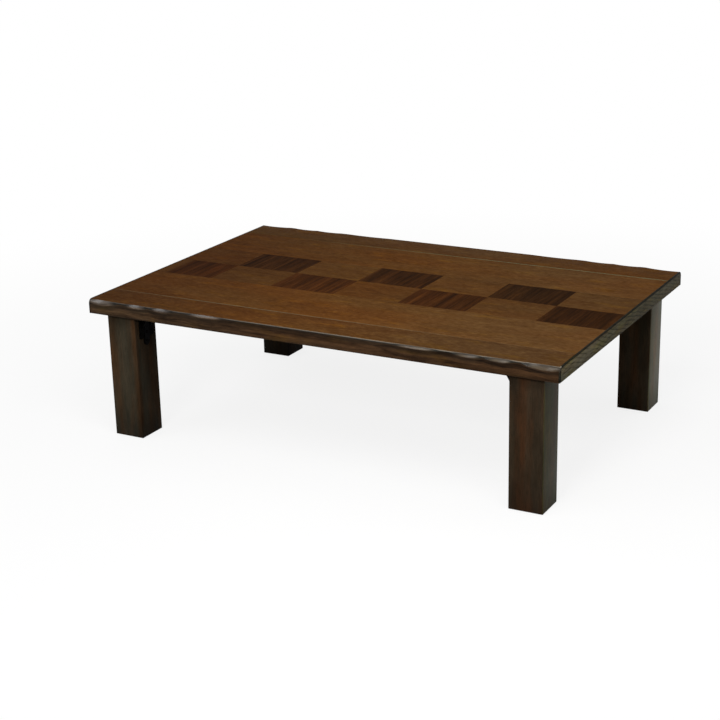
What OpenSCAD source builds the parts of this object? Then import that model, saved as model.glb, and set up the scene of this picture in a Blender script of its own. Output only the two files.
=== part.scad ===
// Low floor table with four folding legs, a carved edge and an inlaid band of squares.
// The origin is on the floor under the middle of the table: X runs along it, Y away from the front.

/* [Table] */
// Overall length
table_l = 1200; // [1000:10:1500]
// Overall depth, front to back
table_w = 800; // [600:10:1000]
// Height of the top face above the floor
table_h = 345; // [320:5:420]
// Thickness of the table top
top_t = 35; // [30:1:45]

/* [Side boards] */
// Width of the solid board along each long edge
side_w = 97; // [92:1:110]
// Width of the V-groove between a side board and the top panel
groove_w = 3; // [2:0.5:5]
// Thickness of the lipping on each short side
end_t = 3; // [2:0.5:6]
// Arris taken off the lipping along the top
end_arris = 1.2; // [0.5:0.1:1.8]
// Arris taken off the lower edge of a side board
lower_arris = 1; // [0.5:0.1:2]

/* [Carved edge] */
// Steepness of the carved chamfer above the horizontal
carve_angle = 53; // [45:1:60]
// Depth of the plain chamfer, square to its face
chamfer_depth = 3; // [2:0.1:4]
// Distance of each scallop's middle from the end of the table
scallop_place = [33, 137, 209, 330]; // [0:1:400]
// Depth of each scallop, square to the chamfer
scallop_depth = [9.5, 7, 6.5, 5]; // [4.5:0.5:12]
// Half length of each scallop where it runs out in the plain chamfer
scallop_half = [57, 38, 40, 65]; // [25:1:80]

/* [Inlaid band] */
// Length of one square along the table
tile_l = 173; // [120:1:220]
// Depth of one row of squares
tile_w = 126; // [80:1:150]
// Thickness of the inlaid squares
tile_t = 2; // [1:0.5:3]
// Joint between two squares
tile_gap = 0.2; // [0.1:0.1:1]

/* [Core] */
// Thickness of the top panel
panel_t = 8; // [6:0.5:10]
// Thickness of the bottom panel
bottom_t = 5; // [3:0.5:6]
// Width of the long rails and end rails
rail_w = 45; // [30:1:60]
// Width of a cross rail
cross_rail_w = 30; // [20:1:50]
// Number of cross rails between the end rails
cross_rail_count = 3; // [1:1:5]
// Thickness of the loose spline between a side board and its long rail
spline_t = 4; // [3:0.5:6]
// Width of the loose spline
spline_w = 20; // [12:1:24]
// Distance from each end of a board at which the spline stops
spline_stop = 40; // [20:5:100]
// Clearance round the spline in its slots
spline_clear = 0.1; // [0.05:0.05:0.3]

/* [Legs] */
// Size of a leg along the table
leg_l = 80; // [60:1:90]
// Size of a leg across the table
leg_w = 80; // [66:1:84]
// Distance of a leg from the short side of the top
leg_inset_end = 40; // [20:1:80]
// Distance of a leg from the long side of the top
leg_inset_side = 17; // [10:1:25]
// Arris taken off the long edges of a leg
leg_arris = 1.5; // [0.5:0.5:4]
// Gap between the top of a leg and the underside
leg_gap = 0.3; // [0.2:0.1:1]
// Diameter of the glide under a leg
glide_d = 50; // [30:1:56]
// Height that the glide stands below the leg
glide_t = 2; // [1:0.5:4]
// Diameter of the glide's spigot
spigot_d = 8; // [6:0.5:12]
// Length of the glide's spigot
spigot_l = 14; // [8:1:20]

/* [Hinge] */
// Distance of the hinge pin below the underside of the top
pivot_drop = 11; // [10.5:0.5:14]
// Distance of the hinge pin from the inner face of the leg
pivot_out = 10; // [9.5:0.5:14]
// Diameter of the hinge pin
pin_d = 6; // [4:0.5:6.5]
// Radial running clearance of the pin
pin_clear = 0.05; // [0.02:0.01:0.1]
// Diameter of the pin's riveted heads
pin_head_d = 9; // [8:0.5:12]
// Thickness of the pin's riveted heads
pin_head_t = 1.5; // [1:0.1:2]
// Thickness of the steel plates
plate_t = 2.5; // [1.5:0.1:3]
// Width of the leg plate and of the base plate
hinge_w = 54; // [53:1:60]
// Width over the two ears of the leg plate
ear_span = 36; // [35.5:0.5:37]
// Radius of the ears and cheeks round the pin
ear_r = 7; // [5.5:0.1:7.4]
// Distance that the ears run down below the pin
ear_drop = 24; // [20:1:36]
// Distance of an ear's sloping edge from the pin
ear_edge = 6.5; // [5.2:0.1:6.7]
// Height above the pin at which an ear leaves the web
ear_shoulder = 5; // [3:0.5:6]
// Side gap between a cheek and an ear
side_clear = 0.3; // [0.2:0.05:0.6]
// Distance that the leg plate runs down below the pin
leg_plate_drop = 49; // [46:1:60]
// Gap between the top of the leg plate and the top of the leg
leg_plate_gap = 1; // [0.5:0.5:3]
// Width of the tongue below the leg plate
tongue_w = 22; // [18:1:26]
// Distance that the tongue runs down below the leg plate
tongue_drop = 20; // [14:1:30]
// Distance that the base plate reaches inboard of the pin
base_reach = 56; // [54:1:80]
// Corners cut off the plates
plate_corner = 3; // [1:0.5:5]

/* [Leaf spring] */
// Thickness of the leaf spring
leaf_t = 1.2; // [0.8:0.1:1.5]
// Distance that the tongue shows on each side of the leaf
leaf_margin = 2; // [1:0.5:3]
// Height that the leaf reaches above the pin
leaf_rise = 3; // [1:0.5:5]
// Gap between the leaf and the round of the knuckle
leaf_clear = 0.3; // [0.2:0.05:0.5]
// Depth of the two flats on the knuckle
flat_depth = 0.8; // [0.5:0.1:1.2]
// Distance that the knuckle stands out beyond each side of the leaf
knuckle_margin = 3; // [1:0.5:4]
// Room round the leaf in the window of the leg plate
window_margin = 4; // [3:0.5:5]
// Distance that the window runs down below the pin
window_drop = 16; // [12:1:20]
// Height that the window reaches above the pin
window_rise = 6; // [5:0.5:7]

/* [Screws] */
// Diameter of a screw's shank
screw_d = 4; // [3:0.5:4.5]
// Length of a screw below its head
screw_l = 18; // [14:1:24]
// Diameter of a screw's head
screw_head_d = 7.6; // [6:0.2:8]
// Thickness of a screw's head
screw_head_t = 2.2; // [1.5:0.1:2.4]
// Clearance round a screw in its hole
screw_clear = 0.1; // [0.05:0.05:0.2]
// Width of each arm of the cross recess in a head
recess_w = 0.9; // [0.6:0.1:1.2]
// Depth of the cross recess
recess_depth = 1.1; // [0.8:0.1:1.3]
// Distance of the base plate's screw rows from the pin
base_screw_rows = [20, 44]; // [16:1:46]
// Distance of the base plate's screws from its middle line
base_screw_side = 14; // [12:0.5:17]
// Distance of the leg plate's screw rows below the pin
leg_screw_rows = [14, 38]; // [12:1:40]
// Gap between an ear and the heads of the leg plate's screws
leg_screw_gap = 0.5; // [0.3:0.1:0.8]
// Distance of the leaf's screws below the pin
leaf_screw_rows = [36, 58]; // [30:1:58]

/* [Hidden] */
$fn = 64;
scallop_fn = 360;
bite = 1;
arm_turn = 90;

underside = table_h - top_t;
core_t = top_t - panel_t - bottom_t;
core_z = underside + bottom_t;
panel_l = table_l - 2 * end_t;
panel_w = table_w - 2 * side_w;
rail_y = panel_w / 2 - rail_w;
rail_inner_l = panel_l - 2 * rail_w;
band_w = 2 * tile_w;
side_columns = ceil((panel_l / 2 - tile_l / 2) / tile_l);
spline_z = core_z + core_t / 2;
spline_l = panel_l - 2 * spline_stop;

leg_x = table_l / 2 - leg_inset_end - leg_l / 2;
leg_y = table_w / 2 - leg_inset_side - leg_w / 2;
leg_h = underside - leg_gap - glide_t;
pivot_x = leg_x - leg_l / 2 - pivot_out;
pivot_z = underside - pivot_drop;

web_face = pivot_out - plate_t;
web_top = pivot_drop - leg_gap - leg_plate_gap;
ear_inner = ear_span / 2 - plate_t;
cheek_outer = ear_inner - side_clear;
leg_screw_side = ear_span / 2 + leg_screw_gap + screw_head_d / 2;
base_low = pivot_drop - plate_t;
leaf_half = tongue_w / 2 - leaf_margin;
leaf_face = web_face - leaf_t;
knuckle_r = leaf_face - leaf_clear;
knuckle_half = leaf_half + knuckle_margin;
neck_half = knuckle_r - 2 * flat_depth;
tongue_round_z = -leg_plate_drop - tongue_drop + tongue_w / 2;
ear_lean = 30;
ear_bend = ear_edge * [cos(ear_lean), -sin(ear_lean)];
ear_foot = max(ear_bend.x - (ear_drop + ear_bend.y) * tan(ear_lean), bite - web_face);

// Each corner has a name, its side along X and its side along Y
CORNERS = [
    ["front_left", -1, -1],
    ["front_right", 1, -1],
    ["back_left", -1, 1],
    ["back_right", 1, 1],
];
TOP_NODES = [
    "side_board_front", "side_board_back", "end_lipping_left", "end_lipping_right",
    "top_panel", "dark_squares_back", "dark_squares_front", "light_squares_back",
    "light_squares_front", "bottom_panel", "core_rail_front", "core_rail_back",
    "end_rail_left", "end_rail_right", "cross_rails", "spline_front", "spline_back",
];
CORNER_NODES = [
    "leg", "glide", "leg_plate", "leg_screws", "leaf_spring", "hinge_pin", "hinge_base",
    "base_screws",
];

// Colours
top_wood = [0.40, 0.25, 0.13];
edge_wood = [0.30, 0.20, 0.13];
dark_wood = [0.22, 0.11, 0.06];
light_wood = [0.46, 0.29, 0.15];
leg_wood = [0.17, 0.10, 0.07];
core_wood = [0.78, 0.64, 0.44];
black_steel = [0.09, 0.09, 0.10];
spring_steel = [0.13, 0.13, 0.15];
glide_plastic = [0.18, 0.14, 0.12];

// Shared shapes

// A plate outline with its four corners cut off
module cut_square(low, high, cut) {
    polygon([
        [low.x + cut, low.y], [high.x - cut, low.y],
        [high.x, low.y + cut], [high.x, high.y - cut],
        [high.x - cut, high.y], [low.x + cut, high.y],
        [low.x, high.y - cut], [low.x, low.y + cut],
    ]);
}

// Puts its children, drawn in the hinge's own frame, at a corner of the table.
// In that frame the pin lies along Y through the origin and +X points inboard, away from the leg.
module at_pivot(c) {
    translate([c[1] * pivot_x, c[2] * leg_y, pivot_z])
        mirror([c[1] > 0 ? 1 : 0, 0, 0])
            children();
}

// Puts an outline drawn in X and Z at a place along Y
module upright(from_y, thick) {
    translate([0, from_y + thick, 0])
        rotate([90, 0, 0])
            linear_extrude(thick) children();
}

// A pan head screw that points along +Z, with the underside of its head at the origin
module screw() {
    difference() {
        union() {
            translate([0, 0, -screw_head_t]) cylinder(d = screw_head_d, h = screw_head_t);
            cylinder(d = screw_d, h = screw_l);
        }
        for (turn = [0, arm_turn])
            rotate([0, 0, turn])
                translate([-screw_head_d / 4, -recess_w / 2, -screw_head_t - bite])
                    cube([screw_head_d / 2, recess_w, recess_depth + bite]);
    }
}

// The hole that a screw passes and bites into
module screw_hole() {
    translate([0, 0, -bite]) cylinder(d = screw_d + 2 * screw_clear, h = screw_l + 2 * bite);
}

// Carved edge

// All that is cut off the front long edge: the plain chamfer and the scallops.
// Local Z is square to the chamfer, and each scallop is part of a wide cylinder.
module edge_carving() {
    reach = table_l + 2 * bite;
    translate([0, -table_w / 2, table_h])
        rotate([carve_angle, 0, 0]) {
            translate([-reach / 2, -top_t, -chamfer_depth]) cube([reach, 2 * top_t, top_t]);
            for (side = [-1, 1])
                for (i = [0 : len(scallop_place) - 1])
                    translate([side * (table_l / 2 - scallop_place[i]), 0, 0])
                        scallop(scallop_depth[i], scallop_half[i]);
        }
}

// One scallop, deepest at its middle
module scallop(depth, half) {
    rise = depth - chamfer_depth;
    radius = (half * half + rise * rise) / (2 * rise);
    translate([0, 0, radius - depth])
        rotate([90, 0, 0])
            cylinder(r = radius, h = 2 * top_t, center = true, $fn = scallop_fn);
}

// The slot for a loose spline, on the front side of the table
module spline_space(clear) {
    length = spline_l + 2 * clear;
    width = spline_w + 2 * clear;
    thick = spline_t + 2 * clear;
    translate([-length / 2, -panel_w / 2 - width / 2, spline_z - thick / 2])
        cube([length, width, thick]);
}

// Shows its children on the front side or mirrored to the back
module on_side(side) {
    mirror([0, side > 0 ? 1 : 0, 0]) children();
}

// Table top

module side_board(side) {
    outer = -table_w / 2;
    inner = -panel_w / 2;
    color(edge_wood)
        on_side(side)
            difference() {
                translate([-panel_l / 2, 0, 0])
                    rotate([90, 0, 90])
                        linear_extrude(panel_l)
                            polygon([
                                [outer + lower_arris, underside],
                                [inner, underside],
                                [inner, table_h - groove_w / 2],
                                [inner - groove_w / 2, table_h],
                                [outer, table_h],
                                [outer, underside + lower_arris],
                            ]);
                edge_carving();
                spline_space(spline_clear);
                for (c = CORNERS) if (c[2] < 0) at_pivot(c) at_base_screws() screw_hole();
            }
}

module end_lipping(side) {
    color(edge_wood)
        difference() {
            translate([side > 0 ? panel_l / 2 : -table_l / 2, -table_w / 2, underside])
                cube([end_t, table_w, top_t]);
            for (y_side = [-1, 1]) on_side(y_side) edge_carving();
            translate([side * table_l / 2, 0, table_h])
                rotate([0, 45, 0])
                    cube([end_arris * sqrt(2), table_w + 2 * bite, end_arris * sqrt(2)], center = true);
            for (y_side = [-1, 1])
                translate([0, y_side * panel_w / 2, table_h])
                    rotate([45, 0, 0])
                        cube([table_l + 2 * bite, groove_w / sqrt(2), groove_w / sqrt(2)], center = true);
        }
}

// The panel between the side boards, with a shallow bed for the inlaid squares
module top_panel() {
    half = panel_w / 2;
    low = table_h - panel_t;
    bed = table_h - tile_t;
    color(top_wood)
        translate([-panel_l / 2, 0, 0])
            rotate([90, 0, 90])
                linear_extrude(panel_l)
                    polygon([
                        [-half, low],
                        [half, low],
                        [half, table_h - groove_w / 2],
                        [half - groove_w / 2, table_h],
                        [band_w / 2, table_h],
                        [band_w / 2, bed],
                        [-band_w / 2, bed],
                        [-band_w / 2, table_h],
                        [groove_w / 2 - half, table_h],
                        [-half, table_h - groove_w / 2],
                    ]);
}

// Every second square of a row, counted from the ends, where the squares are trimmed to the panel
module squares(row, first, wood) {
    near = row > 0 ? 0 : -tile_w;
    color(wood)
        for (i = [-side_columns : side_columns])
            if ((side_columns + i + first) % 2 == 0) {
                low = max((i - 0.5) * tile_l, -panel_l / 2);
                high = min((i + 0.5) * tile_l, panel_l / 2);
                translate([low + tile_gap / 2, near + tile_gap / 2, table_h - tile_t])
                    cube([high - low - tile_gap, tile_w - tile_gap, tile_t]);
            }
}

module bottom_panel() {
    color(core_wood)
        translate([-panel_l / 2, -panel_w / 2, underside])
            cube([panel_l, panel_w, bottom_t]);
}

module core_rail(side) {
    color(core_wood)
        on_side(side)
            difference() {
                translate([-panel_l / 2, -panel_w / 2, core_z]) cube([panel_l, rail_w, core_t]);
                spline_space(spline_clear);
            }
}

module end_rail(side) {
    color(core_wood)
        translate([side > 0 ? panel_l / 2 - rail_w : -panel_l / 2, -rail_y, core_z])
            cube([rail_w, 2 * rail_y, core_t]);
}

module cross_rails() {
    pitch = rail_inner_l / (cross_rail_count + 1);
    color(core_wood)
        for (i = [1 : cross_rail_count])
            translate([i * pitch - rail_inner_l / 2 - cross_rail_w / 2, -rail_y, core_z])
                cube([cross_rail_w, 2 * rail_y, core_t]);
}

module spline(side) {
    color(core_wood) on_side(side) spline_space(0);
}

// Legs

module leg(c) {
    half = [leg_l, leg_w] / 2;
    color(leg_wood)
        difference() {
            translate([c[1] * leg_x, c[2] * leg_y, glide_t])
                difference() {
                    linear_extrude(leg_h) cut_square(-half, half, leg_arris);
                    translate([0, 0, -bite]) cylinder(d = spigot_d + 2 * pin_clear, h = spigot_l + 2 * bite);
                }
            at_pivot(c) at_leg_screws() screw_hole();
        }
}

module glide(c) {
    color(glide_plastic)
        translate([c[1] * leg_x, c[2] * leg_y, 0]) {
            cylinder(d = glide_d, h = glide_t);
            cylinder(d = spigot_d, h = glide_t + spigot_l);
        }
}

// Hinge

// Screws of the leg plate and the leaf spring, all driven towards the leg
module at_leg_screws() {
    for (row = leg_screw_rows)
        for (side = [-1, 1])
            translate([-web_face, side * leg_screw_side, -row])
                rotate([0, -90, 0]) children();
    for (row = leaf_screw_rows)
        translate([-leaf_face, 0, -row])
            rotate([0, -90, 0]) children();
}

module at_base_screws() {
    for (row = base_screw_rows)
        for (side = [-1, 1])
            translate([row, side * base_screw_side, base_low]) children();
}

// Outline of the leg plate's web in Y and Z, with the tongue at the bottom
module web_outline() {
    cut_square([-hinge_w / 2, -leg_plate_drop], [hinge_w / 2, web_top], plate_corner);
    translate([-tongue_w / 2, tongue_round_z])
        square([tongue_w, -tongue_round_z - leg_plate_drop + plate_corner]);
    translate([0, tongue_round_z]) circle(d = tongue_w);
}

// Lays an outline drawn in Y and Z on the leg, from a distance outboard of the pin
module on_leg(distance, thick) {
    translate([-distance, 0, 0])
        rotate([90, 0, 90])
            linear_extrude(thick) children();
}

module leg_plate(c) {
    color(black_steel)
        at_pivot(c)
            difference() {
                union() {
                    on_leg(pivot_out, plate_t) web_outline();
                    for (y = [-ear_span / 2, ear_inner])
                        upright(y, plate_t) ear_outline();
                }
                rotate([90, 0, 0]) cylinder(d = pin_d + 2 * pin_clear, h = 2 * ear_span, center = true);
                on_leg(pivot_out + bite, plate_t + 2 * bite)
                    translate([-leaf_half - window_margin, -window_drop])
                        square([2 * (leaf_half + window_margin), window_drop + window_rise]);
                at_leg_screws() screw_hole();
            }
}

// Outline of an ear in X and Z: a round end about the pin that runs down to the web
module ear_outline() {
    circle(r = ear_r);
    polygon([
        [-pivot_out, ear_shoulder],
        [0, ear_shoulder],
        ear_bend,
        [ear_foot, -ear_drop],
        [-pivot_out, -ear_drop],
    ]);
}

module leg_screws(c) {
    color(black_steel) at_pivot(c) at_leg_screws() screw();
}

// A flat spring that bears on the knuckle's flats when the leg is open and when it is folded
module leaf_spring(c) {
    color(spring_steel)
        at_pivot(c)
            difference() {
                on_leg(web_face, leaf_t) {
                    translate([-leaf_half, tongue_round_z])
                        square([2 * leaf_half, leaf_rise - tongue_round_z]);
                    translate([0, tongue_round_z]) circle(r = leaf_half);
                }
                at_leg_screws() screw_hole();
            }
}

module hinge_pin(c) {
    color(black_steel)
        at_pivot(c)
            rotate([90, 0, 0]) {
                cylinder(d = pin_d, h = ear_span, center = true);
                for (side = [-1, 1])
                    translate([0, 0, side * (ear_span + pin_head_t) / 2])
                        cylinder(d = pin_head_d, h = pin_head_t, center = true);
            }
}

// The base under the table top: a plate, two cheeks and the knuckle with its two flats
module hinge_base(c) {
    color(black_steel)
        at_pivot(c)
            difference() {
                union() {
                    translate([0, 0, base_low])
                        linear_extrude(plate_t)
                            cut_square([-ear_r, -hinge_w / 2], [base_reach, hinge_w / 2], plate_corner);
                    for (y = [-cheek_outer, cheek_outer - plate_t])
                        upright(y, plate_t) {
                            circle(r = ear_r);
                            translate([-ear_r, 0]) square([2 * ear_r, base_low + bite]);
                        }
                    upright(-knuckle_half, 2 * knuckle_half) knuckle_outline();
                }
                rotate([90, 0, 0]) cylinder(d = pin_d + 2 * pin_clear, h = 2 * ear_span, center = true);
                at_base_screws() screw_hole();
            }
}

// The round of the knuckle, cut flat towards the leg and below, and its neck up to the plate
module knuckle_outline() {
    flat = knuckle_r - flat_depth;
    intersection() {
        circle(r = knuckle_r);
        translate([-flat, -flat]) square(2 * knuckle_r);
    }
    translate([-neck_half, 0]) square([2 * neck_half, base_low + bite]);
}

module base_screws(c) {
    color(black_steel) at_pivot(c) at_base_screws() screw();
}

side_board(-1);  // side_board_front
side_board(1);  // side_board_back
end_lipping(-1);  // end_lipping_left
end_lipping(1);  // end_lipping_right
top_panel();
squares(1, 1, dark_wood);  // dark_squares_back
squares(-1, 0, dark_wood);  // dark_squares_front
squares(1, 0, light_wood);  // light_squares_back
squares(-1, 1, light_wood);  // light_squares_front
bottom_panel();
core_rail(-1);  // core_rail_front
core_rail(1);  // core_rail_back
end_rail(-1);  // end_rail_left
end_rail(1);  // end_rail_right
cross_rails();
spline(-1);  // spline_front
spline(1);  // spline_back
for (c = CORNERS) {
    leg(c);
    glide(c);
    leg_plate(c);
    leg_screws(c);
    leaf_spring(c);
    hinge_pin(c);
    hinge_base(c);
    base_screws(c);
}
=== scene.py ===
import math
import bmesh
import bpy
from mathutils import Matrix, Vector


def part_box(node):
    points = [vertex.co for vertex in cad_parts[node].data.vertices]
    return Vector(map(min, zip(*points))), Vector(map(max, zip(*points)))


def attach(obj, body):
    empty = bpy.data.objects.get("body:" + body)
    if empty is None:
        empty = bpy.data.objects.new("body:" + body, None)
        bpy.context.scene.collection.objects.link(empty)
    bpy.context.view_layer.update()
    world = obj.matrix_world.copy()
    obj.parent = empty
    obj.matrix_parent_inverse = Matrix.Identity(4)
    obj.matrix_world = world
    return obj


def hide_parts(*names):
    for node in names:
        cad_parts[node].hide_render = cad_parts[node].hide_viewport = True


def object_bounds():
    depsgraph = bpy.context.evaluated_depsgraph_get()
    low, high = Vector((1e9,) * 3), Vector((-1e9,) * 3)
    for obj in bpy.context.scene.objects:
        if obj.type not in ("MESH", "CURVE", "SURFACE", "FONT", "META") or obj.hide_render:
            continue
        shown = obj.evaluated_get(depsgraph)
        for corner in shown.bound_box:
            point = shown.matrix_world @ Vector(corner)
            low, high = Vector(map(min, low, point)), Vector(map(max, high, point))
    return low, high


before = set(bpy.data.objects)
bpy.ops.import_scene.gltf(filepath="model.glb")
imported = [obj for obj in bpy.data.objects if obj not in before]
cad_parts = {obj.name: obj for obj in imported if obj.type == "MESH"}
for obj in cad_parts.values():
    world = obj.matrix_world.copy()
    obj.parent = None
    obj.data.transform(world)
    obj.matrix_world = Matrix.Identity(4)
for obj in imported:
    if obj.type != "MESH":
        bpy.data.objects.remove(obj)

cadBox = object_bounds()
halfLength, halfWidth, topHeight = cadBox[1]
tableLength = halfLength - cadBox[0][0]
tableWidth = halfWidth - cadBox[0][1]
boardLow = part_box("side_board_front")[0].z      # the underside of the boards
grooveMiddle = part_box("top_panel")[1].y         # how far each groove lies from the table's middle
mm = 0.001
hair = 0.05 * mm   # two places closer than this are the same
corners = ("front_left", "front_right", "back_left", "back_right")


# The camera

cameraPlace = {
    "azimuth": 28.878,     # degrees round the table from the front
    "elevation": 18.717,
    "roll": -1.35,
    "lens": 79.10,         # millimetres
    "sensor": 36,
    "place": (1.7125, -3.2604, 1.4021),
}


def makeCamera(place):
    data = bpy.data.cameras.new("camera")
    data.lens = place["lens"]
    data.sensor_width = place["sensor"]
    camera = bpy.data.objects.new("camera", data)
    bpy.context.scene.collection.objects.link(camera)
    turn = Matrix.Rotation(math.radians(place["azimuth"]), 4, "Z")
    turn = turn @ Matrix.Rotation(math.radians(90 - place["elevation"]), 4, "X")
    turn = turn @ Matrix.Rotation(math.radians(place["roll"]), 4, "Z")
    camera.matrix_world = Matrix.Translation(place["place"]) @ turn
    bpy.context.scene.camera = camera


# Node building

class Wire:
    # an output socket; sums on it add Math nodes
    def __init__(self, bench, socket):
        self.bench = bench
        self.socket = socket

    def maths(self, operation, *others):
        return self.bench.maths(operation, self, *others)

    def vector(self, operation, *others):
        return self.bench.vector(operation, self, *others)

    def scaled(self, by):
        return self.bench.add("ShaderNodeVectorMath", {"operation": "SCALE"}, {0: self, "Scale": by})

    def span(self):
        return self.bench.add("ShaderNodeVectorMath", {"operation": "LENGTH"}, {0: self}, "Value")

    def __add__(self, other):
        return self.bench.maths("ADD", self, other)

    def __radd__(self, other):
        return self.bench.maths("ADD", other, self)

    def __sub__(self, other):
        return self.bench.maths("SUBTRACT", self, other)

    def __rsub__(self, other):
        return self.bench.maths("SUBTRACT", other, self)

    def __mul__(self, other):
        return self.bench.maths("MULTIPLY", self, other)

    def __rmul__(self, other):
        return self.bench.maths("MULTIPLY", other, self)

    def __truediv__(self, other):
        return self.bench.maths("DIVIDE", self, other)

    def __rtruediv__(self, other):
        return self.bench.maths("DIVIDE", other, self)


class Bench:
    # a node tree and the one way that nodes are added to it
    def __init__(self, tree, output):
        self.tree = tree
        self.tree.nodes.clear()
        self.output = self.tree.nodes.new(output)

    def add(self, kind, settings=None, values=None, out=0):
        node = self.tree.nodes.new(kind)
        for key, value in (settings or {}).items():
            if key == "stops":
                self.setStops(node.color_ramp, value)
            elif key == "easing":
                node.color_ramp.interpolation = value
            else:
                setattr(node, key, value)
        for key, value in (values or {}).items():
            if isinstance(value, Wire):
                self.tree.links.new(value.socket, node.inputs[key])
            else:
                node.inputs[key].default_value = value
        return Wire(self, node.outputs[out])

    def setStops(self, ramp, stops):
        while len(ramp.elements) < len(stops):
            ramp.elements.new(1)
        for element, (place, shade) in zip(ramp.elements, stops):
            element.position = place
            element.color = (*shade, 1) if isinstance(shade, tuple) else (shade, shade, shade, 1)

    def maths(self, operation, *values):
        return self.add("ShaderNodeMath", {"operation": operation}, dict(enumerate(values)))

    def vector(self, operation, *values):
        return self.add("ShaderNodeVectorMath", {"operation": operation}, dict(enumerate(values)))

    def mix(self, factor, first, second):
        shades = {0: factor, 6: opaque(first), 7: opaque(second)}
        return self.add("ShaderNodeMix", {"data_type": "RGBA"}, shades, out=2)

    def tint(self, factor, colour, shift):
        # colour with its red, green and blue multiplied by shift, as far as factor says
        return self.mix(factor, colour, colour.vector("MULTIPLY", shift))

    def placed(self, vector, scale=(1, 1, 1), turn=(0, 0, 0), shift=(0, 0, 0)):
        values = {"Vector": vector, "Location": shift, "Rotation": turn, "Scale": scale}
        return self.add("ShaderNodeMapping", {"vector_type": "POINT"}, values)

    def noise(self, vector, repeats, detail=2, roughness=0.5, shift=(0, 0, 0), out=0):
        # repeats per metre along X, Y and Z
        place = self.placed(vector, repeats, shift=shift)
        values = {"Vector": place, "Scale": 1, "Detail": detail, "Roughness": roughness}
        return self.add("ShaderNodeTexNoise", None, values, out)

    def ramp(self, value, stops, easing="LINEAR"):
        return self.add("ShaderNodeValToRGB", {"stops": stops, "easing": easing}, {"Fac": value})

    def along(self, x, stops, easing="LINEAR"):
        # a ramp from the table's left end to its right end
        return self.ramp(0.5 + x / tableLength, stops, easing)

    def across(self, y, stops):
        # a ramp from the table's front to its back
        return self.ramp(0.5 + y / tableWidth, stops)

    def attribute(self, name):
        return self.add("ShaderNodeAttribute", {"attribute_name": name}, out="Fac")

    def parts(self, vector):
        split = self.add("ShaderNodeSeparateXYZ", None, {0: vector})
        return [Wire(self, socket) for socket in split.socket.node.outputs]

    def rays(self):
        # one for what the camera, mirrors and glass see, zero for soft light
        path = self.add("ShaderNodeLightPath").socket.node.outputs
        seen = Wire(self, path["Is Camera Ray"])
        for name in ("Is Glossy Ray", "Is Transmission Ray"):
            seen = seen.maths("MAXIMUM", Wire(self, path[name]))
        return seen

    def finish(self, shader):
        self.tree.links.new(shader.socket, self.output.inputs["Surface"])


def opaque(shade):
    return shade if isinstance(shade, Wire) else (*shade, 1)


def newMaterial(name):
    material = bpy.data.materials.new(name)
    material.use_nodes = True
    return material, Bench(material.node_tree, "ShaderNodeOutputMaterial")


# Woods: each look starts from the veneer of the top. The numbers in threes are red, green and blue,
# or repeats per metre, first along the grain.

# How to turn a pattern that runs along X so that it runs along another axis
grainTurns = {
    "X": (0, 0, 0),
    "Y": (0, 0, math.radians(90)),
    "Z": (0, math.radians(90), 0),
}

topLook = {
    "grain": "X",
    "shift": (0.3, 0.1, 0.0),          # another part of the endless pattern
    "dark": (0.050, 0.0180, 0.0035),
    "mid": (0.108, 0.0455, 0.0115),
    "light": (0.165, 0.0790, 0.0220),
    "warm": (1.10, 0.86, 0.62),        # how far the warm patches shift the colour
    "warmth": 0.60,
    "gold": (1.24, 1.22, 0.85),
    "leftEndToneAndLight": (0.74, 0.71, 0.80),     # how far the table's left end shifts it: partly the wood's tone, partly painted shade
    # the right end: partly the wood's tone, partly a painted sheen
    "rightEndToneAndLight": (0.98, 1.10, 1.42),
    "warmPatches": (2.6, 8.0, 8.0),
    "figure": (1.3, 7.0, 7.0),
    "figureTurns": 8.0,                # growth lines over one swing of the figure
    "figureWeight": 0.13,
    "band": (0.5, 13.0, 13.0),
    "bandWeight": 0.09,
    "streak": (3.0, 85.0, 85.0),
    "streakWeight": 0.12,
    "mottle": (17.0, 36.0, 36.0),
    "mottleWeight": 0.28,
    "dash": (75.0, 260.0, 260.0),
    "dashWeight": 0.56,
    "pore": (55.0, 1250.0, 1250.0),
    "poreWeight": 0.35,
    "roughness": (0.34, 0.48),
    "bump": 0.12,
    "specular": 0.001,
    "grooved": False,                  # the boards and the panel meet at the grooves
    "swirls": (),                      # knots and swirls that bend the grain
    "squares": None,                   # how much the inlaid squares differ from each other
    "strip": None,                     # where the field's own wood ends, on the row that starts with it
    "carved": None,                    # the part of the carved edge that this wood covers
    "part": None,                      # leg or lipping, which have a stain of their own
    "coatRoughness": None,             # polished where this is given
}
panelLook = dict(topLook, grooved=True, swirls=(
    # middle, half length and half width, and how dark the heart is
    ((-0.190, -0.232, 0.345), (0.060, 0.026), 0.25),
    ((0.195, -0.205, 0.345), (0.045, 0.020), 0.15),
    ((0.300, -0.262, 0.345), (0.040, 0.018), 0.10),
    ((0.150, 0.225, 0.345), (0.012, 0.006), 0.80),
    ((0.500, 0.165, 0.345), (0.080, 0.016), 0.25),
))
lightLook = dict(
    topLook,
    shift=(7.7, 5.2, 0.0),
    dark=(0.045, 0.0160, 0.0032),
    mid=(0.095, 0.0400, 0.0105),
    light=(0.145, 0.0700, 0.0200),
    rightEndToneAndLight=(0.94, 1.04, 1.25),
    mottleWeight=0.30,
    squares={"turn": 0.0, "chance": 0.20, "warmRow": 0.0, "fade": 0.0},
)
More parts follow.
